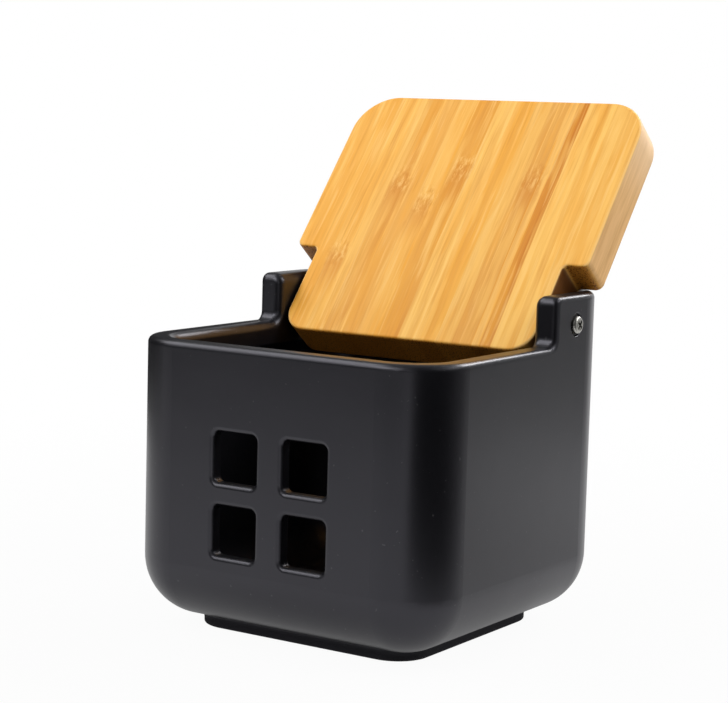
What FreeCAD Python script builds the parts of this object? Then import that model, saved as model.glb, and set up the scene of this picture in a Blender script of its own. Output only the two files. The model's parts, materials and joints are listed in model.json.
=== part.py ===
import FreeCAD, Part
import math
import os
import re

import Sketcher
from FreeCAD import Base

# Garlic keeper: a glazed ceramic box with four windows and a bamboo lid hinged between two ears.
# Millimetres, +Z up, origin on the ground under the middle of the box, front towards -Y.
# The lid, its screws and its washers are built closed, about the hinge axis, and are placed open on the stop.

SHEET = "Sizes"

# name, value or formula, what it is (lengths in millimetres, angles in degrees)
SIZES = [
    ("box_width", 120.0, "outside, left to right"),
    ("box_depth", 118.0, "outside, front to back"),
    ("rim_height", 97.0, "ground to the rim"),
    ("corner_radius", 21.0, "upright corners of the box, in plan"),
    ("wall", 5.0, "side walls"),
    ("floor_thickness", 5.0, "floor between the belly and the inside"),
    ("belly_step", 0.6, "belly rounding, smaller than the corner radius by this"),
    ("rim_width", 9.0, "lip turned inwards at the rim"),
    ("mouth_back_corner", 3.0, "back corners of the mouth, in plan"),
    ("lip_height", 8.0, "upright inner face of the lip"),
    ("lip_slope", 4.5, "slope from the lip back to the wall"),
    ("rim_round", 2.2, "outer edge of the rim and of the ears"),
    ("mouth_round", 3.0, "inner edge of the rim, and the edges round the front and the end of an ear"),
    ("foot_inset", 17.0, "foot, in from the walls"),
    ("foot_height", 3.8, "ground to the belly"),
    ("foot_corner", 12.0, "corners of the foot, in plan"),
    ("foot_blend", 2.0, "hollow where the belly runs into the foot"),
    ("foot_ring", 5.0, "width of the ring that stands on the ground"),
    ("foot_recess", 2.8, "recess inside the ring"),
    ("foot_round", 0.9, "ground edges of the ring"),
    ("window_size", 16.7, "side of a window"),
    ("window_corner", 2.0, "corners of a window"),
    ("window_pitch_x", 26.9, "window to window, across"),
    ("window_pitch_z", 23.9, "window to window, up"),
    ("window_height", 49.2, "ground to the middle of the four windows"),
    ("window_round", 1.6, "outer edges of a window"),
    ("window_inner_round", 1.0, "inner edges of a window"),
    ("ear_height", 16.5, "ears above the rim"),
    ("ear_length", 42.0, "ears, forwards from the back of the box"),
    ("ear_wrap", 14.5, "ears, inwards from the side where they turn the back corners"),
    ("ear_inner_round", 3.6, "top edge of an ear towards the mouth"),
    ("ear_foot_round", 3.0, "hollow where the front of an ear meets the rim"),
    ("ear_end_round", 3.0, "hollow where the end of an ear meets the rim"),
    ("hinge_setback", 28.0, "hinge axis, in from the back of the box"),
    ("hinge_height", 6.5, "hinge axis above the rim"),
    ("open_angle", 129.0, "lid, from closed to its stop"),
    ("stop_gap", 0.1, "open lid to the tops of the ears"),
    ("lid_thickness", 14.8, "bamboo board"),
    ("lid_inset", 0.5, "lid inside the outline of the box"),
    ("lid_corner", 15.5, "front corners of the lid"),
    ("lid_gap", 0.3, "closed lid above the rim"),
    ("lid_top_round", 1.2, "upper edge of the lid"),
    ("lid_under_round", 1.0, "lower edge of the lid"),
    ("shoulder_corner", 2.8, "outer corners of the shoulders"),
    ("notch_corner", 2.0, "inner corners of the notches for the ears"),
    ("tongue_side_gap", 0.8, "tongue to each ear"),
    ("tongue_end_gap", 3.0, "tongue to the lip behind it"),
    ("tongue_corner", 9.0, "back corners of the tongue"),
    ("screw_diameter", 3.6, "shank of a hinge screw"),
    ("screw_grip", 14.0, "screw inside the bamboo"),
    ("screw_point", 2.4, "cone at the end of a screw"),
    ("head_diameter", 5.9, "pan head of a screw"),
    ("head_height", 1.8, "pan head of a screw"),
    ("head_round", 1.2, "edge of a pan head"),
    ("head_gap", 0.15, "pan head to the flange of the bush"),
    ("cross_arm", 0.8, "width of an arm of the cross recess"),
    ("cross_span", 3.4, "cross recess, tip to tip"),
    ("cross_depth", 1.1, "cross recess"),
    ("bush_diameter", 5.4, "sleeve of a bush, and hole in an ear"),
    ("bush_clearance", 0.08, "screw to bush, all round"),
    ("seat_diameter", 7.6, "sunk seat in the side of an ear for a flange and a head"),
    ("seat_depth", 1.4, "sunk seat"),
    ("seat_round", 0.5, "outer edge of a sunk seat"),
    ("flange_diameter", 7.3, "flange of a bush"),
    ("flange_thickness", 0.7, "flange of a bush"),
    ("flange_round", 0.2, "edge of a flange"),
    ("washer_diameter", 9.0, "spacer washer"),
    ("washer_play", 0.3, "spacer washer to the ear"),
    ("half_width", "box_width / 2", "side of the box"),
    ("half_depth", "box_depth / 2", "front and back of the box"),
    ("mouth_half_width", "half_width - rim_width", "inner side of the lip and of the ears"),
    ("mouth_half_depth", "half_depth - rim_width", "inner front and back of the lip"),
    ("ear_top", "rim_height + ear_height", "ground to the top of an ear"),
    ("ear_front", "half_depth - ear_length", "front of an ear"),
    ("ear_end", "half_width - ear_wrap", "end of an ear, behind the tongue"),
    ("belly_radius", "corner_radius - belly_step", "rounding from the walls to the underside"),
    ("inner_floor", "foot_height + floor_thickness", "ground to the inside floor"),
    ("wall_top", "rim_height - lip_height - lip_slope", "ground to the top of the plain wall"),
    ("hinge_back", "half_depth - hinge_setback", "hinge axis, back from the middle"),
    ("hinge_level", "rim_height + hinge_height", "ground to the hinge axis"),
    ("lid_below", "hinge_height - lid_gap", "hinge axis to the lower face of the lid"),
    ("lid_above", "lid_thickness - lid_below", "hinge axis to the upper face of the lid"),
    ("lid_half_width", "half_width - lid_inset", "side of the lid"),
    ("lid_reach", "half_depth - lid_inset + hinge_back", "hinge axis to the front of the lid"),
    ("stop_level", "ear_height - hinge_height + stop_gap", "open lid's lowest point above the axis"),
    ("shoulder_reach",
     "(stop_level + lid_top_round - (lid_above - lid_top_round) * cos(open_angle)) / sin(open_angle)"
     " - lid_top_round", "hinge axis to the shoulders that land on the ears"),
    ("tongue_half_width", "mouth_half_width - tongue_side_gap", "side of the tongue"),
    ("tongue_reach", "hinge_setback - rim_width - tongue_end_gap", "hinge axis to the end of the tongue"),
    ("screw_radius", "screw_diameter / 2", "shank of a screw"),
    ("screw_shoulder", "tongue_half_width - screw_grip + screw_point", "middle to the start of the cone"),
    ("screw_tip", "tongue_half_width - screw_grip", "middle to the tip of a screw"),
    ("seat_face", "half_width - seat_depth", "middle to the bottom of a sunk seat"),
    ("flange_face", "seat_face + flange_thickness", "middle to the outer face of a flange"),
    ("head_seat", "flange_face + head_gap", "middle to the underside of a pan head"),
    ("head_face", "head_seat + head_height", "middle to the top of a pan head"),
    ("bush_bore", "screw_radius + bush_clearance", "radius of the bore of a bush"),
    ("washer_face", "mouth_half_width - washer_play", "middle to the outer face of a washer"),
]
NAMES = {name for name, _, _ in SIZES}
SIDES = ("right", "left")


def new_document():
    """The document, with every driving size in its sheet."""
    doc = FreeCAD.newDocument("GarlicKeeper")
    sheet = doc.addObject("Spreadsheet::Sheet", SHEET)
    for row, (name, value, note) in enumerate(SIZES, start=1):
        sheet.set(f"A{row}", name)
        sheet.set(f"B{row}", f"={value}" if isinstance(value, str) else str(value))
        sheet.set(f"C{row}", note)
        sheet.setAlias(f"B{row}", name)
    doc.recompute()
    return doc


def on_sheet(formula):
    """A formula in size names, as an expression that reads the sheet."""
    return re.sub(r"[a-z_]+", lambda m: f"{SHEET}.{m[0]}" if m[0] in NAMES else m[0], formula)


def value_of(doc, formula):
    found = doc.getObject(SHEET).evalExpression(on_sheet(formula))
    return float(getattr(found, "Value", found))


def point_of(doc, formulas):
    return Base.Vector(*(value_of(doc, formula) for formula in formulas))


def new_body(doc, label):
    body = doc.addObject("PartDesign::Body", label)
    body.Label = label
    return body


def plane_of(body, role):
    return next(item for item in body.Origin.OriginFeatures if item.Role == role)


def new_sketch(body, name, role, offset="0"):
    """A sketch on one of the body's own planes, moved along the plane's normal."""
    sketch = body.newObject("Sketcher::SketchObject", name)
    sketch.AttachmentSupport = [(plane_of(body, role), "")]
    sketch.MapMode = "FlatFace"
    sketch.setExpression("AttachmentOffset.Base.z", on_sheet(offset))
    return sketch


def add_driven(sketch, kind, items, formula):
    """A dimension that follows the sheet. A distance of 0 from the origin is a point on an axis."""
    if formula == "0":
        axis = {"DistanceX": -2, "DistanceY": -1}[kind]
        sketch.addConstraint(Sketcher.Constraint("PointOnObject", *items[2:], axis))
        return
    index = sketch.addConstraint(Sketcher.Constraint(kind, *items, value_of(sketch.Document, formula)))
    sketch.setExpression(f"Constraints[{index}]", on_sheet(formula))


def add_corner_arc(sketch, corner, before, after, radius):
    """The arc that rounds a corner, and whether it turns left, with where it starts and ends."""
    back = (before - corner).normalize()
    ahead = (after - corner).normalize()
    half = back.getAngle(ahead) / 2
    reach = radius / math.tan(half)
    middle = corner + (back + ahead).normalize() * (radius / math.sin(half))
    start, end = corner + back * reach, corner + ahead * reach
    first = math.atan2(start.y - middle.y, start.x - middle.x)
    last = math.atan2(end.y - middle.y, end.x - middle.x)
    turn = (last - first + math.pi) % (2 * math.pi) - math.pi
    circle = Part.Circle(middle, Base.Vector(0, 0, 1), radius)
    span = (first, first + turn) if turn > 0 else (last, last - turn)
    arc = sketch.addGeometry(Part.ArcOfCircle(circle, *span), False)
    return arc, turn > 0, start, end


def add_outline(sketch, points):
    """A closed outline through (x, y) corners, or (x, y, radius) for rounded ones, all as formulas."""
    doc = sketch.Document
    corners = [point_of(doc, (p[0], p[1], "0")) for p in points]
    starts, ends, arcs = list(corners), list(corners), {}
    for i, p in enumerate(points):
        if len(p) == 3:
            after = corners[(i + 1) % len(points)]
            arc, left, starts[i], ends[i] = add_corner_arc(
                sketch, corners[i], corners[i - 1], after, value_of(doc, p[2]))
            arcs[i] = (arc, left)
    lines = [sketch.addGeometry(Part.LineSegment(ends[i], starts[(i + 1) % len(points)]), False)
             for i in range(len(points))]
    for i, p in enumerate(points):
        if i not in arcs:
            sketch.addConstraint(Sketcher.Constraint("Coincident", lines[i - 1], 2, lines[i], 1))
            corner = (lines[i], 1)
        else:
            arc, left = arcs[i]
            first, last = (1, 2) if left else (2, 1)
            sketch.addConstraint(Sketcher.Constraint("Tangent", lines[i - 1], 2, arc, first))
            sketch.addConstraint(Sketcher.Constraint("Tangent", arc, last, lines[i], 1))
            add_driven(sketch, "Radius", (arc,), p[2])
            mark = sketch.addGeometry(Part.Point(corners[i]), True)
            for line in (lines[i - 1], lines[i]):
                sketch.addConstraint(Sketcher.Constraint("PointOnObject", mark, 1, line))
            corner = (mark, 1)
        add_driven(sketch, "DistanceX", (-1, 1, *corner), p[0])
        add_driven(sketch, "DistanceY", (-1, 1, *corner), p[1])


def add_rounded_box(sketch, half_x, half_y, radius, centre=("0", "0")):
    """A rectangle with round corners about a centre."""
    left, right = (f"{centre[0]} {sign} ({half_x})" for sign in "-+")
    low, high = (f"{centre[1]} {sign} ({half_y})" for sign in "-+")
    corners = [(left, low), (right, low), (right, high), (left, high)]
    add_outline(sketch, [(*corner, radius) for corner in corners])


def add_circle(sketch, centre, radius):
    middle = point_of(sketch.Document, (*centre, "0"))
    size = value_of(sketch.Document, radius)
    circle = sketch.addGeometry(Part.Circle(middle, Base.Vector(0, 0, 1), size), False)
    add_driven(sketch, "Radius", (circle,), radius)
    add_driven(sketch, "DistanceX", (-1, 1, circle, 3), centre[0])
    add_driven(sketch, "DistanceY", (-1, 1, circle, 3), centre[1])


def extrude(body, kind, name, sketch, length, side="One side", flip=False):
    """A pad along the sketch's normal, or a pocket against it. A flip turns it round."""
    feature = body.newObject(f"PartDesign::{kind}", name)
    feature.Profile = sketch
    feature.SideType = side
    feature.Reversed = flip
    feature.setExpression("Length", on_sheet(length))
    body.Document.recompute()
    return feature


def revolve(body, kind, name, sketch):
    """A revolution or a groove, all round the sketch's horizontal axis."""
    feature = body.newObject(f"PartDesign::{kind}", name)
    feature.Profile = sketch
    feature.ReferenceAxis = (sketch, ["H_Axis"])
    feature.Angle = 360.0
    body.Document.recompute()
    return feature


def loft_cut(body, name, first, last):
    feature = body.newObject("PartDesign::SubtractiveLoft", name)
    feature.Profile = first
    feature.Sections = [last]
    feature.Ruled = True
    body.Document.recompute()
    return feature


def round_edges(body, name, points, radius):
    """Rounds the edges that pass through the given points, with the edges that run on smoothly."""
    base = body.Tip
    vertices = [Part.Vertex(point_of(body.Document, p)) for p in points]
    edges = list(enumerate(base.Shape.Edges, start=1))
    picked = [min(edges, key=lambda item: item[1].distToShape(vertex)[0]) for vertex in vertices]
    feature = body.newObject("PartDesign::Fillet", name)
    feature.Base = (base, sorted({f"Edge{number}" for number, _ in picked}))
    feature.setExpression("Radius", on_sheet(radius))
    body.Document.recompute()
    return feature


def hang_on_hinge(body):
    """Places a piece that is built closed about the hinge axis: open, on the stop."""
    body.Placement = Base.Placement(Base.Vector(), Base.Rotation(Base.Vector(-1, 0, 0), 90))
    body.setExpression("Placement.Base.y", on_sheet("hinge_back"))
    body.setExpression("Placement.Base.z", on_sheet("hinge_level"))
    body.setExpression("Placement.Rotation.Angle", on_sheet("open_angle"))


def place_on_axis(body):
    """Places a piece that is built about the hinge axis and stays with the box."""
    body.setExpression("Placement.Base.y", on_sheet("hinge_back"))
    body.setExpression("Placement.Base.z", on_sheet("hinge_level"))


def box_block(body):
    """The outside of the box, up to the tops of the ears and square at the bottom."""
    outside = new_sketch(body, "OutsidePlan", "XY_Plane", "foot_height")
    add_rounded_box(outside, "half_width", "half_depth", "corner_radius")
    extrude(body, "Pad", "Outside", outside, "ear_top - foot_height")


def box_ears(body):
    """Takes away all above the rim but for the two ears, which turn the back corners."""
    right = [("box_width", "-box_depth"), ("box_width", "ear_front"), ("ear_end", "ear_front"),
             ("ear_end", "box_depth")]
    left = [(f"-{x}", y) for x, y in reversed(right)]
    above = new_sketch(body, "AboveRimPlan", "XY_Plane", "ear_top")
    add_outline(above, right + left)
    extrude(body, "Pocket", "AboveRim", above, "ear_height")


def add_mouth(sketch):
    """The outline of the mouth. Its back corners are tighter, so the ears are straight inside."""
    front = ("mouth_half_width", "-mouth_half_depth", "corner_radius - rim_width")
    back = ("mouth_half_width", "mouth_half_depth", "mouth_back_corner")
    add_outline(sketch, [front, back] + [(f"-{x}", y, radius) for x, y, radius in (back, front)])


def box_inside(body):
    """The hollow: upright lip, slope under it, plain walls and a rounded floor."""
    mouth = new_sketch(body, "MouthPlan", "XY_Plane", "ear_top")
    add_mouth(mouth)
    extrude(body, "Pocket", "Mouth", mouth, "ear_height + lip_height")
    lip = new_sketch(body, "LipPlan", "XY_Plane", "rim_height - lip_height")
    add_mouth(lip)
    inner = ("half_width - wall", "half_depth - wall", "corner_radius - wall")
    slope = new_sketch(body, "SlopePlan", "XY_Plane", "wall_top")
    add_rounded_box(slope, *inner)
    loft_cut(body, "LipSlope", lip, slope)
    hollow = new_sketch(body, "HollowPlan", "XY_Plane", "wall_top")
    add_rounded_box(hollow, *inner)
    extrude(body, "Pocket", "Hollow", hollow, "wall_top - inner_floor")
    round_edges(body, "HollowFloor", [("0", "wall - half_depth", "inner_floor")], "belly_radius - wall")


def box_belly(body):
    """The rounded belly, and the foot that it runs into."""
    round_edges(body, "Belly", [("0", "-half_depth", "foot_height")], "belly_radius")
    foot = new_sketch(body, "FootPlan", "XY_Plane")
    add_rounded_box(foot, "half_width - foot_inset", "half_depth - foot_inset", "foot_corner")
    extrude(body, "Pad", "Foot", foot, "foot_height + floor_thickness / 2")
    round_edges(body, "FootBlend", [("0", "foot_inset - half_depth", "foot_height")], "foot_blend")


def box_windows(body):
    """Four windows through the front wall."""
    columns = [f"{sign} window_pitch_x / 2" for sign in "-+"]
    rows = [f"window_height {sign} window_pitch_z / 2" for sign in "-+"]
    centres = [(x, z) for x in columns for z in rows]
    plan = new_sketch(body, "WindowPlan", "XZ_Plane", "half_depth")
    for centre in centres:
        add_rounded_box(plan, "window_size / 2", "window_size / 2", "window_corner", centre)
    extrude(body, "Pocket", "Windows", plan, "2 * wall")
    sills = [(x, f"{z} - window_size / 2") for x, z in centres]
    for name, y, radius in (("WindowEdges", "-half_depth", "window_round"),
                            ("WindowInnerEdges", "wall - half_depth", "window_inner_round")):
        round_edges(body, name, [(x, y, z) for x, z in sills], radius)


def box_hinge_holes(body):
    """One bore through both ears, with a sunk seat in the side of each."""
    axis = ("hinge_back", "hinge_level")
    bore = new_sketch(body, "BorePlan", "YZ_Plane")
    add_circle(bore, axis, "bush_diameter / 2")
    extrude(body, "Pocket", "HingeBore", bore, "2 * box_width", "Symmetric")
    for side in SIDES:
        seat = new_sketch(body, f"SeatPlan_{side}", "YZ_Plane", toward(side, "half_width"))
        add_circle(seat, axis, "seat_diameter / 2")
        extrude(body, "Pocket", f"Seat_{side}", seat, "seat_depth", flip=side == "left")
    edge = ("hinge_back", "hinge_level + seat_diameter / 2")
    round_edges(body, "SeatEdges", [(toward(side, "half_width"), *edge) for side in SIDES], "seat_round")


def box_rounding(body):
    """Softens the ears and then the whole rim, inside and outside."""
    for name, x, y, z, radius in (
            ("EarInner", "mouth_half_width", "hinge_back", "ear_top", "ear_inner_round"),
            ("EarFoot", "half_width - rim_width / 2", "ear_front", "rim_height", "ear_foot_round"),
            ("EarEndFoot", "ear_end", "half_depth - rim_width / 2", "rim_height", "ear_end_round")):
        round_edges(body, name, [(x, y, z), (f"-({x})", y, z)], radius)
    mouth = [("0", f"{sign} mouth_half_depth", "rim_height") for sign in "-+"]
    round_edges(body, "MouthEdge", mouth, "mouth_round")
    round_edges(body, "RimEdge", [("0", "-half_depth", "rim_height")], "rim_round")


def box_foot_ring(body):
    """The recess under the box, and the soft edges of the ring that stands on the ground."""
    recess = new_sketch(body, "RecessPlan", "XY_Plane", "foot_recess")
    add_rounded_box(recess, "half_width - foot_inset - foot_ring", "half_depth - foot_inset - foot_ring",
                    "foot_corner - foot_ring")
    extrude(body, "Pocket", "FootRecess", recess, "foot_recess")
    round_edges(body, "FootEdge", [("0", "foot_inset - half_depth", "0"),
                                   ("0", "foot_inset + foot_ring - half_depth", "0")], "foot_round")


def build_box(doc):
    body = new_body(doc, "ceramic_box")
    for step in (box_block, box_ears, box_inside, box_belly, box_windows, box_rounding, box_hinge_holes,
                 box_foot_ring):
        step(body)


def toward(side, x):
    """A distance from the middle, towards the right or the left side."""
    return x if side == "right" else f"-({x})"


def add_turned_outline(body, name, side, points):
    """The half outline of a turned piece, given from the middle of the box outwards."""
    sketch = new_sketch(body, name, "XY_Plane")
    add_outline(sketch, [(toward(side, x), *rest) for x, *rest in points])
    return sketch


def build_lid(doc):
    """One board with a tongue at the back, and a pilot hole for a screw in each side of the tongue."""
    body = new_body(doc, "bamboo_lid")
    plan = new_sketch(body, "BoardPlan", "XY_Plane", "-lid_below")
    right = [("lid_half_width", "-lid_reach", "lid_corner"),
             ("lid_half_width", "-shoulder_reach", "shoulder_corner"),
             ("tongue_half_width", "-shoulder_reach", "notch_corner"),
             ("tongue_half_width", "tongue_reach", "tongue_corner")]
    left = [(f"-{x}", y, radius) for x, y, radius in reversed(right)]
    add_outline(plan, right + left)
    extrude(body, "Pad", "Board", plan, "lid_thickness")
    round_edges(body, "UpperEdge", [("0", "-lid_reach", "lid_above")], "lid_top_round")
    round_edges(body, "LowerEdge", [("0", "-lid_reach", "-lid_below")], "lid_under_round")
    for side in SIDES:
        pilot = add_turned_outline(body, f"Pilot_{side}", side, [
            ("screw_tip", "0"), ("half_width", "0"), ("half_width", "screw_radius"),
            ("screw_shoulder", "screw_radius")])
        revolve(body, "Groove", f"PilotHole_{side}", pilot)
    hang_on_hinge(body)


def build_screw(doc, side):
    """A pan-head screw with a cross recess and a pointed end."""
    body = new_body(doc, f"hinge_screw_{side}")
    profile = add_turned_outline(body, f"ScrewProfile_{side}", side, [
        ("screw_tip", "0"), ("head_face", "0"), ("head_face", "head_diameter / 2", "head_round"),
        ("head_seat", "head_diameter / 2"), ("head_seat", "screw_radius"),
        ("screw_shoulder", "screw_radius")])
    revolve(body, "Revolution", f"Turned_{side}", profile)
    arm, tip = "cross_arm / 2", "cross_span / 2"
    quarter = [(tip, f"-{arm}"), (tip, arm), (arm, arm)]
    cross = []
    for _ in range(4):
        cross += quarter
        quarter = [(f"-({y})", x) for x, y in quarter]
    face = new_sketch(body, f"CrossPlan_{side}", "YZ_Plane", toward(side, "head_face"))
    add_outline(face, cross)
    extrude(body, "Pocket", f"Cross_{side}", face, "cross_depth", flip=side == "left")
    hang_on_hinge(body)


def build_bush(doc, side):
    """A flanged sleeve that lines the hole in an ear."""
    body = new_body(doc, f"hinge_bush_{side}")
    profile = add_turned_outline(body, f"BushProfile_{side}", side, [
        ("mouth_half_width", "bush_bore"), ("flange_face", "bush_bore"),
        ("flange_face", "flange_diameter / 2", "flange_round"), ("seat_face", "flange_diameter / 2"),
        ("seat_face", "bush_diameter / 2"), ("mouth_half_width", "bush_diameter / 2")])
    revolve(body, "Revolution", f"Bush_{side}", profile)
    place_on_axis(body)


def build_washer(doc, side):
    """A thin washer on the screw, between the tongue and an ear."""
    body = new_body(doc, f"spacer_washer_{side}")
    profile = add_turned_outline(body, f"WasherProfile_{side}", side, [
        ("tongue_half_width", "screw_radius"), ("washer_face", "screw_radius"),
        ("washer_face", "washer_diameter / 2"), ("tongue_half_width", "washer_diameter / 2")])
    revolve(body, "Revolution", f"Washer_{side}", profile)
    hang_on_hinge(body)


def check_document(doc):
    doc.recompute()
    for item in doc.Objects:
        if {"Invalid", "Error"} & set(item.State):
            raise RuntimeError(f"{item.Name} did not build: {item.State}")


def export_nodes(doc):
    os.makedirs("parts", exist_ok=True)
    for body in doc.findObjects("PartDesign::Body"):
        shape = body.Shape
        if shape.isNull() or not shape.isValid() or len(shape.Solids) != 1:
            raise RuntimeError(f"{body.Label} is not one valid solid")
        shape.exportStep(f"parts/{body.Label}.step")


def main():
    doc = new_document()
    build_box(doc)
    build_lid(doc)
    for side in SIDES:
        build_screw(doc, side)
        build_bush(doc, side)
        build_washer(doc, side)
    check_document(doc)
    export_nodes(doc)


main()
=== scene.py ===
import json
import math

import bpy
from mathutils import Matrix, Vector

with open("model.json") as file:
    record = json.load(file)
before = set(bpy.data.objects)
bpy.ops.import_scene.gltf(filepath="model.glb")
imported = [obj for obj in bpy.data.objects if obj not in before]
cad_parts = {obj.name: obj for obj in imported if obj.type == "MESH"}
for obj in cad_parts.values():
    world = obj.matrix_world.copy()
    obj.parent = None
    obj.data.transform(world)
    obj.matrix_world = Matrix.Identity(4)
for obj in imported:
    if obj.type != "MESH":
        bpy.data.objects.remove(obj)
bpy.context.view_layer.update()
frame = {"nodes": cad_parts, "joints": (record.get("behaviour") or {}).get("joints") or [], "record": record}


def rgb(red, green, blue):
    return (red, green, blue, 1.0)


# Lengths and places are in metres. Colours are linear, and a span is where a fade starts and ends.

# Photograph: its width in pixels, and the camera that fits the box and the lid in it.
PICTURE_WIDTH = 728
SENSOR_WIDTH = 36.0
FOCAL_PIXELS = 2113.3
CAMERA_YAW = math.radians(33.2)
CAMERA_PITCH = math.radians(6.92)
CAMERA_ROLL = math.radians(1.585)
CAMERA_DISTANCE = 0.7142
CAMERA_TARGET = Vector((-0.00537, 0.00247, 0.09121))
NEAREST_SEEN = 0.01

# Lid: its hinge and how far it stands open at rest.
HINGE = frame["joints"][0]
HINGE_PLACE = Vector(HINGE["pos_m"])
LID_OPEN = math.radians(-HINGE["range_deg"][0])

# Glaze of the box.
GLAZE_DEEP = rgb(0.0030, 0.0030, 0.0040)
GLAZE_PALE = rgb(0.0056, 0.0054, 0.0068)
GLAZE_SPECK = rgb(0.035, 0.034, 0.036)
GLAZE_SHINE = rgb(0.90, 0.885, 1.0)
GLAZE_IOR = 1.58
GLAZE_ROUGHNESS = (0.30, 0.35)

# Foot of the box: wiped to bare clay up to a slightly uneven line, and matt from there to the belly.
CLAY_DARK = rgb(0.42, 0.36, 0.29)
CLAY_PALE = rgb(0.60, 0.54, 0.46)
BARE_CLAY_HEIGHT = 0.0002
BARE_CLAY_EDGE = 0.0002
BARE_CLAY_UNEVEN = 0.0003
FOOT_TOP = 0.0038
FOOT_TOP_EDGE = 0.0004
MATT_ROUGHNESS = 0.90

# Face of the bamboo board: its ground, its stains, and the painted highlight along its edges.
BAMBOO_GOLDEN = rgb(0.86, 0.360, 0.022)
BAMBOO_PALE = rgb(0.99, 0.58, 0.138)
BAMBOO_CREAM = rgb(1.0, 0.64, 0.205)
BAMBOO_BROWN = rgb(0.62, 0.195, 0.006)
# Painted highlight along the rounded edges of the board.
BAMBOO_EDGE_HIGHLIGHT = rgb(1.0, 0.62, 0.22)
BAMBOO_ROUGHNESS = (0.45, 0.58)
BAMBOO_IOR = 1.45
BAMBOO_SPECULAR = 0.25

# Sides of the board with a painted highlight towards its front corner, the painted shade on the sides of its tongue,
# where the tongue ends at the shoulders, and the end grain.
SIDE_PALE = rgb(0.77, 0.470, 0.205)
SIDE_DARK = rgb(0.62, 0.345, 0.128)
SIDE_FIBRE = rgb(0.42, 0.215, 0.070)
# Painted highlight on the sides towards the front corner, and the span along the board over which it fades.
SIDE_PAINTED_HIGHLIGHT = rgb(0.92, 0.68, 0.44)
CORNER_HIGHLIGHT_SPAN = (-0.085, -0.050)
# Painted shade on the sides of the tongue, below the shoulders.
TONGUE_PAINTED_SHADE = rgb(0.15, 0.044, 0.001)
TONGUE_SIDE = 0.0545
TONGUE_SIDE_EDGE = 0.002
SHOULDER_SPAN = (-0.030, -0.020)
END_DARK = rgb(0.37, 0.135, 0.014)
END_PALE = rgb(0.48, 0.190, 0.024)
END_PORE = rgb(0.15, 0.052, 0.004)

# Strips of the board, from its middle: those that stand out have a place, a width, a stain and its share.
STRIP_WIDTH = 0.0072
STRIP_UNEVEN = 0.85
BANDS_PER_STRIP = 3.1
FIBRE_SHIFT = 3.0
STRIP_SWAY = 0.0015
STAINED_EDGE = 0.0002
STAINED_STRIPS = (
    (-0.0510, 0.0150, BAMBOO_GOLDEN, 0.60),
    (-0.0390, 0.0090, BAMBOO_GOLDEN, 0.25),
    (-0.0286, 0.0072, BAMBOO_BROWN, 0.40),
    (-0.0179, 0.0138, BAMBOO_CREAM, 0.22),
    (0.0241, 0.0075, BAMBOO_BROWN, 0.44),
    (0.0293, 0.0024, BAMBOO_CREAM, 0.50),
    (0.0322, 0.0024, BAMBOO_BROWN, 0.78),
    (0.0343, 0.0020, BAMBOO_BROWN, 1.00),
)

# Knuckles of the stems, from the middle of the board and from the hinge axis, and how far their outline strays.
KNUCKLES = ((-0.0275, -0.0510), (-0.0142, -0.0427), (-0.0047, -0.0582), (0.0259, -0.0549), (-0.0400, -0.0180))
KNUCKLE_WIDTH = 0.0054
KNUCKLE_LENGTH = 0.0080
KNUCKLE_RAGGED = 1.6

# Hardware of the hinge.
STEEL_DARK = rgb(0.38, 0.37, 0.34)
STEEL_PALE = rgb(0.58, 0.57, 0.53)
STEEL_ROUGHNESS = (0.22, 0.38)
BUSH_DARK = rgb(0.010, 0.010, 0.010)
BUSH_PALE = rgb(0.018, 0.018, 0.018)
BUSH_ROUGHNESS = (0.4, 0.5)
WASHER_DARK = rgb(0.016, 0.016, 0.017)
WASHER_PALE = rgb(0.026, 0.026, 0.027)
WASHER_ROUGHNESS = (0.45, 0.55)

# Floor: half its side, its paper, how white the camera sees it and how white the glaze does, from near to far.
FLOOR_HALF = 4.0
FLOOR_DARK = rgb(0.48, 0.48, 0.48)
FLOOR_PALE = rgb(0.51, 0.51, 0.51)
FLOOR_SEEN_SPAN, FLOOR_SEEN = (0.15, 0.5), (0.955, 1.0)
FLOOR_MIRRORED_SPAN, FLOOR_MIRRORED = (0.045, 0.14), (0.44, 1.0)

# Room: the light that it throws on the object, and how bright the glaze sees it from low to high.
WHITE = rgb(1.0, 1.0, 1.0)
ROOM_LIGHT = 0.42
ROOM_MIRRORED_SPAN, ROOM_MIRRORED = (0.1, 0.7), (0.9, 0.3)

# Cards that only the glaze shows: name, the two ends of the lower edge, the way from there to the upper edge, tone,
# and the share of the length over which the card thins out. The last one lies on the floor.
CARDS = (
    ("card_right", (0.125, -0.170), (0.148, 0.150), (0.0, 0.0, 0.45), 0.005, 0.64),
    ("card_front", (-0.75, -0.50), (0.30, -0.58), (0.0, 0.0, 0.23), 0.004, 0.0),
    ("card_far", (0.14, 0.46), (0.50, 0.24), (0.0, 0.0, 0.40), 0.33, 0.0),
    ("card_left", (-0.48, -0.32), (-0.40, 0.50), (0.0, 0.0, 0.40), 0.03, 0.0),
    ("card_low", (0.098, -0.02), (0.098, 0.14), (0.164, 0.251, 0.004), 0.48, 0.0),
)
CARD_PALER = 1.3

# Soft boxes: name, place, width, height and power. They face the middle of the object.
SOFT_BOXES = (
    ("left", (-0.80, -0.30, 1.00), 0.8, 0.8, 6.2),
    ("front", (-0.35, -1.00, 0.95), 0.8, 0.6, 6.3),
    ("right", (0.95, 0.40, 0.95), 0.6, 0.6, 7.0),
    ("back", (0.22, 1.00, 0.72), 0.6, 0.4, 9.0),
)
SOFT_BOX_AIM = Vector((0.0, 0.0, 0.08))


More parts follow.
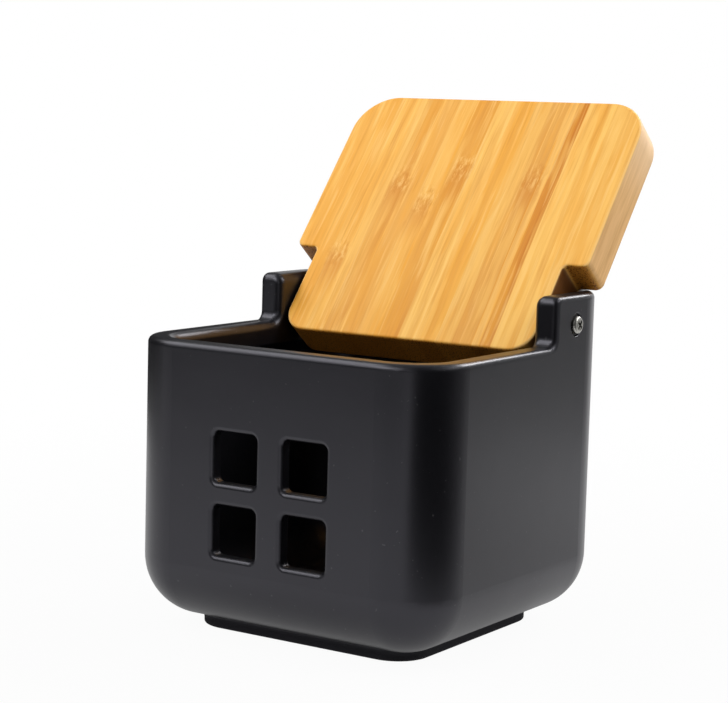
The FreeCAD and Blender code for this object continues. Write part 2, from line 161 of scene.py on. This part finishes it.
class Graph:
    """The shader nodes of one material, with short calls that add and link them."""

    def __init__(self, tree):
        self.tree = tree
        tree.nodes.clear()

    def fill(self, socket, value):
        if isinstance(value, bpy.types.NodeSocket):
            self.tree.links.new(value, socket)
        else:
            socket.default_value = value

    def add(self, kind, inputs=None, **settings):
        node = self.tree.nodes.new(kind)
        for name, value in settings.items():
            setattr(node, name, value)
        for socket, value in (inputs or {}).items():
            self.fill(node.inputs[socket], value)
        return node

    def math(self, operation, first, second=0.0):
        return self.add("ShaderNodeMath", {0: first, 1: second}, operation=operation).outputs[0]

    def fade(self, value, span, shares=(0.0, 1.0)):
        """A smooth step from the first share to the second, as the value goes through the span."""
        inputs = {"Value": value, "From Min": span[0], "From Max": span[1], "To Min": shares[0], "To Max": shares[1]}
        return self.add("ShaderNodeMapRange", inputs, interpolation_type="SMOOTHSTEP").outputs["Result"]

    def mix(self, share, first, second):
        node = self.add("ShaderNodeMix", data_type="RGBA")
        for socket, value in ((node.inputs[0], share), (node.inputs[6], first), (node.inputs[7], second)):
            self.fill(socket, value)
        return node.outputs[2]

    def layer(self, under, value, span, shares, colour):
        """A colour laid over another one, in a share that fades as the value goes through the span."""
        return self.mix(self.fade(value, span, shares), under, colour)

    def noise(self, vector, scale, detail=3.0, roughness=0.5):
        inputs = {"Vector": vector, "Scale": scale, "Detail": detail, "Roughness": roughness}
        return self.add("ShaderNodeTexNoise", inputs).outputs["Fac"]

    def cells(self, value, scale, randomness, feature="F1"):
        """Three random numbers that change from cell to cell along the value."""
        inputs = {"W": value, "Scale": scale, "Randomness": randomness}
        cell = self.add("ShaderNodeTexVoronoi", inputs, voronoi_dimensions="1D", feature=feature)
        return self.add("ShaderNodeSeparateColor", {0: cell.outputs["Color"]}).outputs

    def scaled(self, vector, scale):
        return self.add("ShaderNodeMapping", {"Vector": vector, "Scale": scale}).outputs[0]

    def split(self, vector):
        return self.add("ShaderNodeSeparateXYZ", {0: vector}).outputs

    def place(self):
        """Where a point is in the frame, with the lid open."""
        return self.add("ShaderNodeTexCoord").outputs["Object"]

    def bump(self, height, strength, distance, under=None):
        inputs = {"Height": height, "Strength": strength, "Distance": distance}
        if under:
            inputs["Normal"] = under
        return self.add("ShaderNodeBump", inputs).outputs[0]

    def surface(self, **inputs):
        shader = self.add("ShaderNodeBsdfPrincipled", {name.replace("_", " "): v for name, v in inputs.items()})
        self.add("ShaderNodeOutputMaterial", {"Surface": shader.outputs[0]})


def new_material(name):
    material = bpy.data.materials.new(name)
    material.use_nodes = True
    return material, Graph(material.node_tree)


def ceramic():
    """Satin black glaze with a faint ripple and specks, matt on the foot, and bare clay where the foot was wiped."""
    material, g = new_material("satin_black_glaze")
    place = g.place()
    _, _, height = g.split(place)
    clouds = g.noise(place, scale=22.0, detail=4.0)
    glaze = g.mix(clouds, GLAZE_DEEP, GLAZE_PALE)
    glaze = g.layer(glaze, g.noise(place, scale=900.0, detail=0.0), (0.81, 0.85), (0.0, 1.0), GLAZE_SPECK)
    clay = g.mix(g.noise(place, scale=500.0, detail=4.0), CLAY_DARK, CLAY_PALE)
    wiped = g.math("ADD", height, g.math("MULTIPLY", g.noise(place, scale=120.0), BARE_CLAY_UNEVEN))
    bare = g.fade(wiped, (BARE_CLAY_HEIGHT + BARE_CLAY_EDGE, BARE_CLAY_HEIGHT))

    rough = g.fade(clouds, (0.25, 0.75), GLAZE_ROUGHNESS)
    foot = g.fade(height, (FOOT_TOP - FOOT_TOP_EDGE, FOOT_TOP + FOOT_TOP_EDGE), (MATT_ROUGHNESS, 0.0))
    rough = g.math("MAXIMUM", rough, foot)
    rough = g.math("MAXIMUM", rough, g.math("MULTIPLY", bare, MATT_ROUGHNESS))
    ripple = g.bump(g.noise(place, scale=55.0, detail=2.0), strength=0.12, distance=0.0006)
    skin = g.bump(g.noise(place, scale=1400.0, detail=2.0), strength=0.04, distance=0.0002, under=ripple)
    g.surface(Base_Color=g.mix(bare, glaze, clay), Roughness=rough, Normal=skin, IOR=GLAZE_IOR,
              Specular_Tint=GLAZE_SHINE)
    return material


def on_board(g):
    """Where a point is on the closed board, from the hinge axis, and how far its surface faces each way there."""
    closed = Matrix.Rotation(LID_OPEN, 4, "X") @ Matrix.Translation(-HINGE_PLACE)
    turn = {"Rotation": (LID_OPEN, 0.0, 0.0)}
    board = g.add("ShaderNodeMapping", {"Vector": g.place(), "Location": closed.to_translation(), **turn}).outputs[0]
    facing = g.add("ShaderNodeTexCoord").outputs["Normal"]
    facing = g.add("ShaderNodeMapping", {"Vector": facing, **turn}, vector_type="VECTOR").outputs[0]
    return board, [g.math("ABSOLUTE", part) for part in g.split(facing)]


def add_knuckles(g, wood, moved, across, along):
    """Knuckles: in a short patch of a strip the fibres curl, dark and light, and a stain runs on towards the hinge."""
    curls = g.noise(g.scaled(moved, (1.0, 0.28, 1.0)), scale=820.0, detail=3.0, roughness=0.7)
    ragged = g.noise(g.scaled(moved, (1.0, 0.6, 1.0)), scale=330.0, detail=2.0)
    ragged = g.math("MULTIPLY", g.math("SUBTRACT", ragged, 0.5), KNUCKLE_RAGGED)
    for x, y in KNUCKLES:
        dx = g.math("DIVIDE", g.math("SUBTRACT", across, x), KNUCKLE_WIDTH)
        dy = g.math("DIVIDE", g.math("SUBTRACT", along, y), KNUCKLE_LENGTH)
        apart = g.math("ADD", g.math("MULTIPLY", dx, dx), g.math("MULTIPLY", dy, dy))
        patch = g.fade(g.math("ADD", apart, ragged), (0.0, 1.1), (1.0, 0.0))
        sides = g.math("ADD", g.math("ABSOLUTE", dx), g.math("MULTIPLY", ragged, 0.3))
        beyond = g.math("MULTIPLY", g.fade(dy, (-0.5, 0.4)), g.fade(dy, (0.6, 2.6), (0.42, 0.0)))
        stained = g.math("MULTIPLY", g.fade(sides, (0.6, 0.8), (1.0, 0.0)), beyond)
        dark = g.math("MULTIPLY", patch, g.fade(curls, (0.50, 0.66), (0.05, 0.48)))
        light = g.math("MULTIPLY", patch, g.fade(curls, (0.38, 0.50), (0.50, 0.0)))
        for share, colour in ((stained, BAMBOO_BROWN), (dark, BAMBOO_BROWN), (light, BAMBOO_CREAM)):
            wood = g.mix(share, wood, colour)
    return wood


def bamboo():
    """Laminated bamboo: strips that run from front to back, each with its own tone, fibres and knuckles."""
    material, g = new_material("laminated_bamboo")
    board, (side, end, face) = on_board(g)

    # A slow sway along the board, so that no strip or streak is ruled straight.
    sway = g.noise(g.scaled(board, (0.3, 1.0, 0.3)), scale=14.0, detail=1.0)
    sway = g.math("MULTIPLY", g.math("SUBTRACT", sway, 0.5), STRIP_SWAY)
    across, along, _ = g.split(board)
    across = g.math("ADD", across, sway)
    tone, shift, kind = g.cells(across, 1.0 / STRIP_WIDTH, STRIP_UNEVEN)
    band, _, _ = g.cells(across, BANDS_PER_STRIP / STRIP_WIDTH, 1.0, feature="SMOOTH_F1")

    # The fibres: long noise at four widths, moved from strip to strip.
    offset = {0: sway, 1: g.math("MULTIPLY", shift, FIBRE_SHIFT), 2: tone}
    offset = g.add("ShaderNodeCombineXYZ", offset).outputs[0]
    moved = g.add("ShaderNodeVectorMath", {0: board, 1: offset}, operation="ADD").outputs[0]
    fibres = g.noise(g.scaled(moved, (1.0, 0.03, 1.0)), scale=1500.0, detail=4.0, roughness=0.6)
    streaks = g.noise(g.scaled(moved, (1.0, 0.04, 0.6)), scale=620.0, detail=3.0, roughness=0.6)
    flames = g.noise(g.scaled(moved, (1.0, 0.10, 0.5)), scale=260.0, detail=2.0)
    drift = g.noise(g.scaled(moved, (1.0, 0.35, 1.0)), scale=40.0, detail=2.0)

    # The face: the ground of each strip, the strips that stand out, and the fibres over them. A layer has its value,
    # span, shares at the two ends of the span, and colour.
    layers = [
        (tone, (0.0, 0.7), (0.1, 0.9), BAMBOO_PALE),
        (kind, (0.76, 0.78), (0.0, 0.24), BAMBOO_BROWN),
        (band, (0.2, 0.6), (0.26, 0.0), BAMBOO_BROWN),
        (band, (0.6, 0.9), (0.0, 0.30), BAMBOO_CREAM),
    ]
    for middle, width, stain, share in STAINED_STRIPS:
        away = g.math("ABSOLUTE", g.math("SUBTRACT", across, middle))
        layers.append((away, (width / 2 - STAINED_EDGE, width / 2 + STAINED_EDGE), (share, 0.0), stain))
    layers += [
        (flames, (0.50, 0.62), (0.0, 0.42), BAMBOO_GOLDEN),
        (flames, (0.34, 0.46), (0.40, 0.0), BAMBOO_PALE),
        (streaks, (0.52, 0.70), (0.0, 0.34), BAMBOO_BROWN),
        (streaks, (0.32, 0.46), (0.45, 0.0), BAMBOO_CREAM),
        (fibres, (0.5, 0.72), (0.0, 0.22), BAMBOO_BROWN),
        (drift, (0.3, 0.7), (0.0, 0.20), BAMBOO_PALE),
    ]
    wood = BAMBOO_GOLDEN
    for layer in layers:
        wood = g.layer(wood, *layer)
    wood = add_knuckles(g, wood, moved, across, along)

    # Edges: a painted highlight, pale along the rounded edges, but not on the sides of the tongue.
    edge_highlight = g.math("MULTIPLY", g.fade(side, (0.10, 0.35)), g.fade(side, (0.65, 0.85), (0.7, 0.0)))
    off_tongue = g.math("MAXIMUM", g.fade(face, (0.2, 0.5)), g.fade(along, SHOULDER_SPAN, (1.0, 0.0)))
    wood = g.mix(g.math("MULTIPLY", edge_highlight, off_tongue), wood, BAMBOO_EDGE_HIGHLIGHT)

    # Sides: flat fibres, with a painted highlight towards the front corner and painted shade on the sides of the
    # tongue.
    flat = g.layer(SIDE_PALE, streaks, (0.30, 0.75), (0.0, 1.0), SIDE_DARK)
    flat = g.layer(flat, fibres, (0.50, 0.72), (0.0, 0.35), SIDE_FIBRE)
    flat = g.layer(flat, along, CORNER_HIGHLIGHT_SPAN, (0.6, 0.0), SIDE_PAINTED_HIGHLIGHT)
    # Painted shade: the sides of the tongue are darkened in their colour.
    tongue_shade = g.fade(g.math("ABSOLUTE", across), (TONGUE_SIDE, TONGUE_SIDE + TONGUE_SIDE_EDGE), (0.95, 0.0))
    flat = g.mix(g.math("MULTIPLY", tongue_shade, side), flat, TONGUE_PAINTED_SHADE)
    wood = g.layer(wood, side, (0.65, 0.90), (0.0, 1.0), flat)

    # Front and shoulders: end grain with dark pores.
    pores = g.noise(g.scaled(board, (1.0, 0.1, 1.0)), scale=1900.0, detail=1.0)
    grain = g.layer(g.mix(tone, END_DARK, END_PALE), pores, (0.52, 0.64), (0.0, 1.0), END_PORE)
    wood = g.layer(wood, end, (0.45, 0.95), (0.0, 1.0), grain)

    g.surface(Base_Color=wood, Roughness=g.fade(fibres, (0.3, 0.7), BAMBOO_ROUGHNESS), IOR=BAMBOO_IOR,
              Specular_IOR_Level=BAMBOO_SPECULAR, Normal=g.bump(fibres, strength=0.12, distance=0.0002))
    return material


def steel():
    """Turned steel: rings round the hinge axis, with a faint cloudy stain."""
    material, g = new_material("screw_steel")
    from_axis = g.add("ShaderNodeVectorMath", {0: g.place(), 1: HINGE_PLACE}, operation="SUBTRACT").outputs[0]
    _, depth, height = g.split(from_axis)
    radius = g.math("SQRT", g.math("ADD", g.math("MULTIPLY", depth, depth), g.math("MULTIPLY", height, height)))
    rings = {"W": radius, "Scale": 9000.0, "Detail": 2.0}
    rings = g.add("ShaderNodeTexNoise", rings, noise_dimensions="1D").outputs[0]
    stains = g.noise(from_axis, scale=700.0, detail=4.0)
    colour, rough = g.mix(stains, STEEL_DARK, STEEL_PALE), g.fade(stains, (0.3, 0.7), STEEL_ROUGHNESS)
    g.surface(Base_Color=colour, Metallic=1.0, Roughness=rough, Normal=g.bump(rings, strength=0.12, distance=0.0001))
    return material


def moulded_plastic(name, dark, pale, roughness):
    """Moulded plastic with a fine, slightly uneven skin."""
    material, g = new_material(name)
    place = g.place()
    skin = g.noise(place, scale=1800.0)
    clouds = g.noise(place, scale=250.0, detail=2.0)
    g.surface(Base_Color=g.mix(clouds, dark, pale), Roughness=g.fade(clouds, (0.3, 0.7), roughness),
              Normal=g.bump(skin, strength=0.1, distance=0.0001))
    return material


def dress():
    """Gives every CAD node the material of its slot."""
    looks = {
        "ceramic": ceramic(),
        "bamboo": bamboo(),
        "screw": steel(),
        "bush": moulded_plastic("bush_plastic", BUSH_DARK, BUSH_PALE, BUSH_ROUGHNESS),
        "washer": moulded_plastic("washer_plastic", WASHER_DARK, WASHER_PALE, WASHER_ROUGHNESS),
    }
    slots = {part["node"]: part["material_slot"] for part in frame["record"]["subparts"]}
    for name, node in frame["nodes"].items():
        node.data.materials.clear()
        node.data.materials.append(looks[slots[name]])


def add_panel(name, corners):
    """One flat panel of the studio, which is no part of the object."""
    mesh = bpy.data.meshes.new(name)
    mesh.from_pydata(corners, [], [tuple(range(len(corners)))])
    panel = bpy.data.objects.new(name, mesh)
    bpy.context.scene.collection.objects.link(panel)
    return panel


def build_floor():
    """A plain pale floor. Rays from the camera see it nearly white, and it keeps the object's shadow."""
    half = FLOOR_HALF
    floor = add_panel("floor", [(-half, -half, 0), (half, -half, 0), (half, half, 0), (-half, half, 0)])
    material, g = new_material("pale_floor")
    place = g.place()
    paper = g.mix(g.noise(place, scale=60.0), FLOOR_DARK, FLOOR_PALE)
    lit = g.add("ShaderNodeBsdfDiffuse", {"Color": paper}).outputs[0]
    glow = g.add("ShaderNodeEmission", {"Color": WHITE, "Strength": 1.0}).outputs[0]
    away = g.add("ShaderNodeVectorMath", {0: place}, operation="LENGTH").outputs["Value"]
    rays = g.add("ShaderNodeLightPath").outputs
    seen = g.math("MULTIPLY", rays["Is Camera Ray"], g.fade(away, FLOOR_SEEN_SPAN, FLOOR_SEEN))
    mirrored = g.math("MAXIMUM", rays["Is Glossy Ray"], rays["Is Transmission Ray"])
    mirrored = g.math("MULTIPLY", mirrored, g.fade(away, FLOOR_MIRRORED_SPAN, FLOOR_MIRRORED))
    both = g.add("ShaderNodeMixShader", {0: g.math("MAXIMUM", seen, mirrored), 1: lit, 2: glow}).outputs[0]
    g.add("ShaderNodeOutputMaterial", {"Surface": both})
    floor.data.materials.append(material)


def build_cards():
    """Felt cards that only the glaze shows: they darken the corner of the box and tone its walls."""
    for name, start, end, up, tone, thin in CARDS:
        start, end, up = Vector((*start, 0.0)), Vector((*end, 0.0)), Vector(up)
        panel = add_panel(name, [start, end, end + up, start + up])
        panel.visible_camera = panel.visible_diffuse = panel.visible_shadow = False
        material, g = new_material(name)
        place = g.place()
        dark, pale = (rgb(grey, grey, grey) for grey in (tone, tone * CARD_PALER))
        felt = g.mix(g.noise(place, scale=200.0), dark, pale)
        card = g.add("ShaderNodeBsdfDiffuse", {"Color": felt}).outputs[0]
        if thin:
            _, depth, _ = g.split(place)
            reach = g.math("DIVIDE", g.math("SUBTRACT", depth, start.y), end.y - start.y)
            clear = g.add("ShaderNodeBsdfTransparent").outputs[0]
            share = g.fade(reach, (1.0 - thin, 1.0))
            card = g.add("ShaderNodeMixShader", {0: share, 1: card, 2: clear}).outputs[0]
        g.add("ShaderNodeOutputMaterial", {"Surface": card})
        panel.data.materials.append(material)


def build_world():
    """White for the camera, weaker as light, and fading overhead for the glaze, as a studio's ceiling does."""
    world = bpy.data.worlds.new("studio")
    bpy.context.scene.world = world
    world.use_nodes = True
    g = Graph(world.node_tree)
    rays = g.add("ShaderNodeLightPath").outputs
    _, _, up = g.split(g.add("ShaderNodeTexCoord").outputs["Generated"])
    strengths = (ROOM_LIGHT, g.fade(up, ROOM_MIRRORED_SPAN, ROOM_MIRRORED), 1.0)
    light, mirror, white = (
        g.add("ShaderNodeBackground", {"Color": WHITE, "Strength": strength}).outputs[0] for strength in strengths
    )
    mirrored = g.math("MAXIMUM", rays["Is Glossy Ray"], rays["Is Transmission Ray"])
    seen = g.add("ShaderNodeMixShader", {0: mirrored, 1: light, 2: mirror}).outputs[0]
    seen = g.add("ShaderNodeMixShader", {0: rays["Is Camera Ray"], 1: seen, 2: white}).outputs[0]
    g.add("ShaderNodeOutputWorld", {"Surface": seen})


def build_lights():
    """Soft boxes high on the left, high in front, high on the right, and behind."""
    for name, place, width, height, power in SOFT_BOXES:
        light = bpy.data.lights.new(name, "AREA")
        light.shape = "RECTANGLE"
        light.size = width
        light.size_y = height
        light.energy = power
        lamp = bpy.data.objects.new(name, light)
        bpy.context.scene.collection.objects.link(lamp)
        lamp.location = place
        lamp.rotation_euler = (SOFT_BOX_AIM - Vector(place)).to_track_quat("-Z", "Y").to_euler()


def build_camera():
    data = bpy.data.cameras.new("camera")
    data.sensor_width = SENSOR_WIDTH
    data.lens = FOCAL_PIXELS * SENSOR_WIDTH / PICTURE_WIDTH
    data.clip_start = NEAREST_SEEN
    camera = bpy.data.objects.new("camera", data)
    bpy.context.scene.collection.objects.link(camera)
    turn = (Matrix.Rotation(CAMERA_YAW, 4, "Z") @ Matrix.Rotation(math.pi / 2 - CAMERA_PITCH, 4, "X")
            @ Matrix.Rotation(CAMERA_ROLL, 4, "Z"))
    back = turn.to_3x3() @ Vector((0, 0, 1))
    camera.matrix_world = Matrix.Translation(CAMERA_TARGET + back * CAMERA_DISTANCE) @ turn
    bpy.context.scene.camera = camera


dress()
build_floor()
build_cards()
build_world()
build_lights()
build_camera()
bpy.context.scene.view_settings.view_transform = "Standard"
